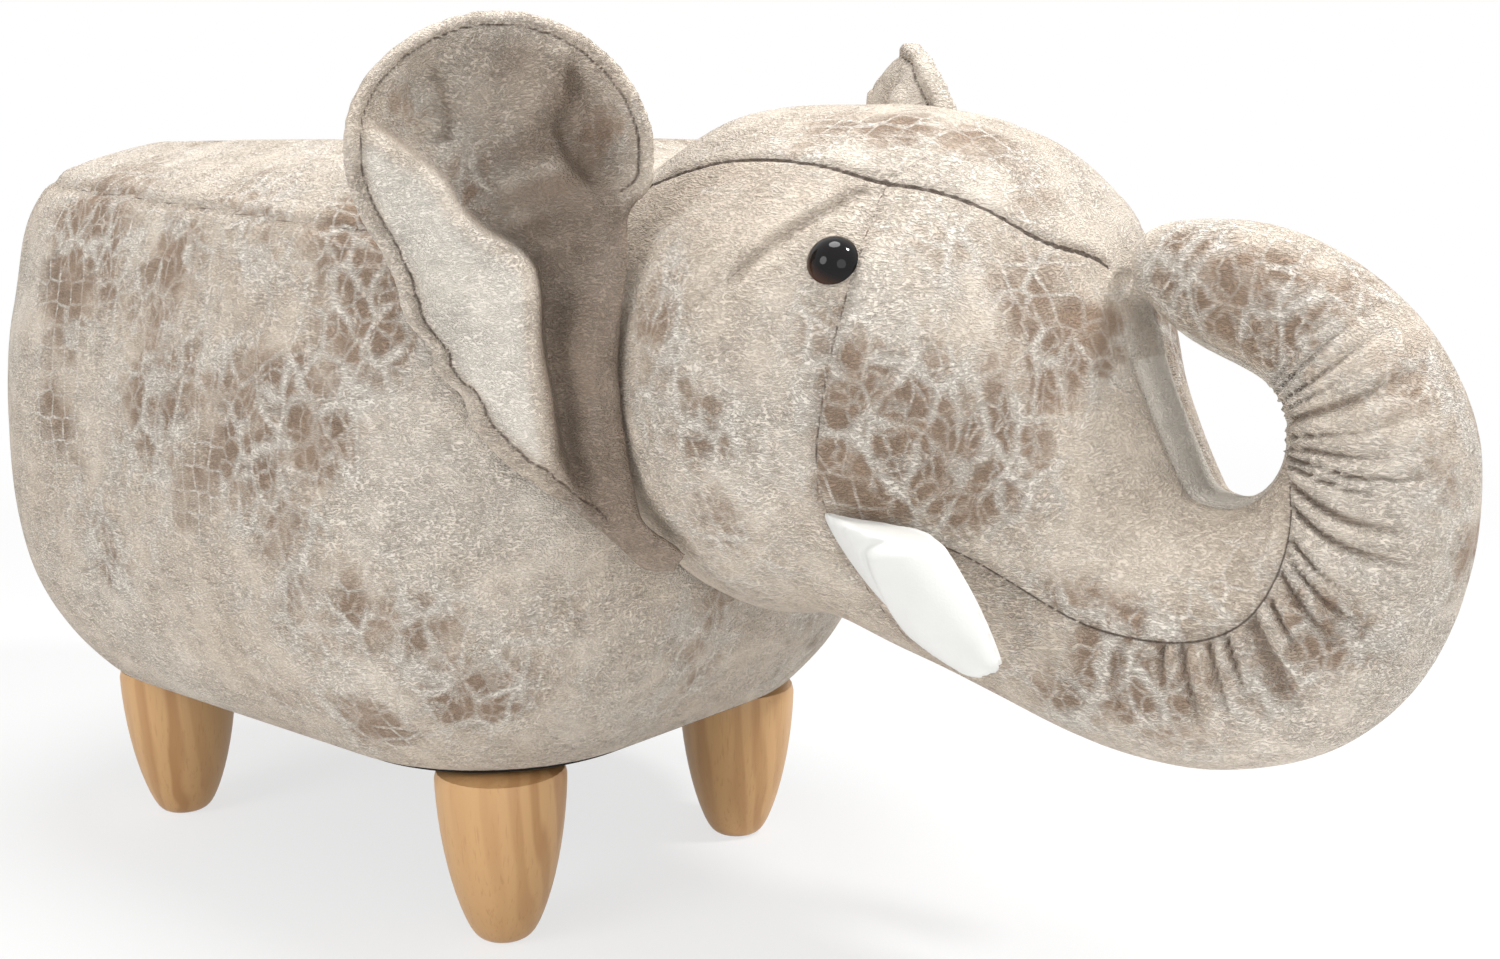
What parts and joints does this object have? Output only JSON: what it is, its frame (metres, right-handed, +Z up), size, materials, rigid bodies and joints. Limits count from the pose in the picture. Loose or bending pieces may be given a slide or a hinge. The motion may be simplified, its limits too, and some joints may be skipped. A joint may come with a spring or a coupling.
{
  "type": "animal footstool",
  "caption": "Upholstered footstool shaped as an elephant: padded seat body, stuffed head with a curled trunk, cloth tusks, flexing ears and turned wooden legs.",
  "frame": {"origin": "centre of the overall box, on the floor between the feet", "axes": "+X forward to the trunk, +Y to the animal's left, +Z up"},
  "size_m": [0.6577, 0.3382, 0.364],
  "materials": {
    "cover": "matte faux leather, pale greige with a worn brown blotch and pale crackle print",
    "tusk_cloth": "smooth white cloth",
    "leg_wood": "clear satin lacquer on pale wood",
    "frame_wood": "raw board and timber",
    "foam": "open foam",
    "stuffing": "loose fibre stuffing",
    "dust_cloth": "black nonwoven",
    "eye": "polished",
    "eye_washer": "natural",
    "steel": "zinc plated"
  },
  "bodies": {
    "stool": {"body_side_cover": "cover", "seat_top_cover": "cover", "crown_panel": "cover", "right_cheek_panel": "cover", "left_cheek_panel": "cover", "right_face_panel": "cover", "left_face_panel": "cover", "trunk_panel": "cover", "right_tusk_cover": "tusk_cloth", "left_tusk_cover": "tusk_cloth", "front_right_leg": "leg_wood", "front_left_leg": "leg_wood", "rear_right_leg": "leg_wood", "rear_left_leg": "leg_wood", "base_board": "frame_wood", "seat_board": "frame_wood", "front_right_post": "frame_wood", "front_left_post": "frame_wood", "rear_right_post": "frame_wood", "rear_left_post": "frame_wood", "head_rail": "frame_wood", "head_board": "frame_wood", "side_wall": "frame_wood", "side_foam": "foam", "seat_foam": "foam", "head_stuffing": "stuffing", "trunk_stuffing": "stuffing", "right_tusk_stuffing": "stuffing", "left_tusk_stuffing": "stuffing", "dust_cover": "dust_cloth", "right_eye": "eye", "left_eye": "eye", "eye_lock_washers": "eye_washer", "frame_screws": "steel", "cover_staples": "steel", "leg_hanger_bolts": "steel", "leg_tee_nuts": "steel", "head_bolts": "steel", "head_bolt_washers": "steel", "head_tee_nuts": "steel"},
    "right_ear": {"right_ear_front": "cover", "right_ear_back": "cover", "right_ear_core": "foam"},
    "left_ear": {"left_ear_front": "cover", "left_ear_back": "cover", "left_ear_core": "foam"}
  },
  "joints": [
    {"name": "right_ear_swing", "type": "hinge", "parent": "stool", "child": "right_ear", "pos_m": [0.06341, -0.09944, 0.242], "axis": [0, 0, 1], "range_deg": [-15, 35], "stiffness_Nm_per_rad": 0.12},
    {"name": "left_ear_swing", "type": "hinge", "parent": "stool", "child": "left_ear", "pos_m": [0.06341, 0.09944, 0.242], "axis": [0, 0, -1], "range_deg": [-15, 35], "stiffness_Nm_per_rad": 0.12}
  ]
}
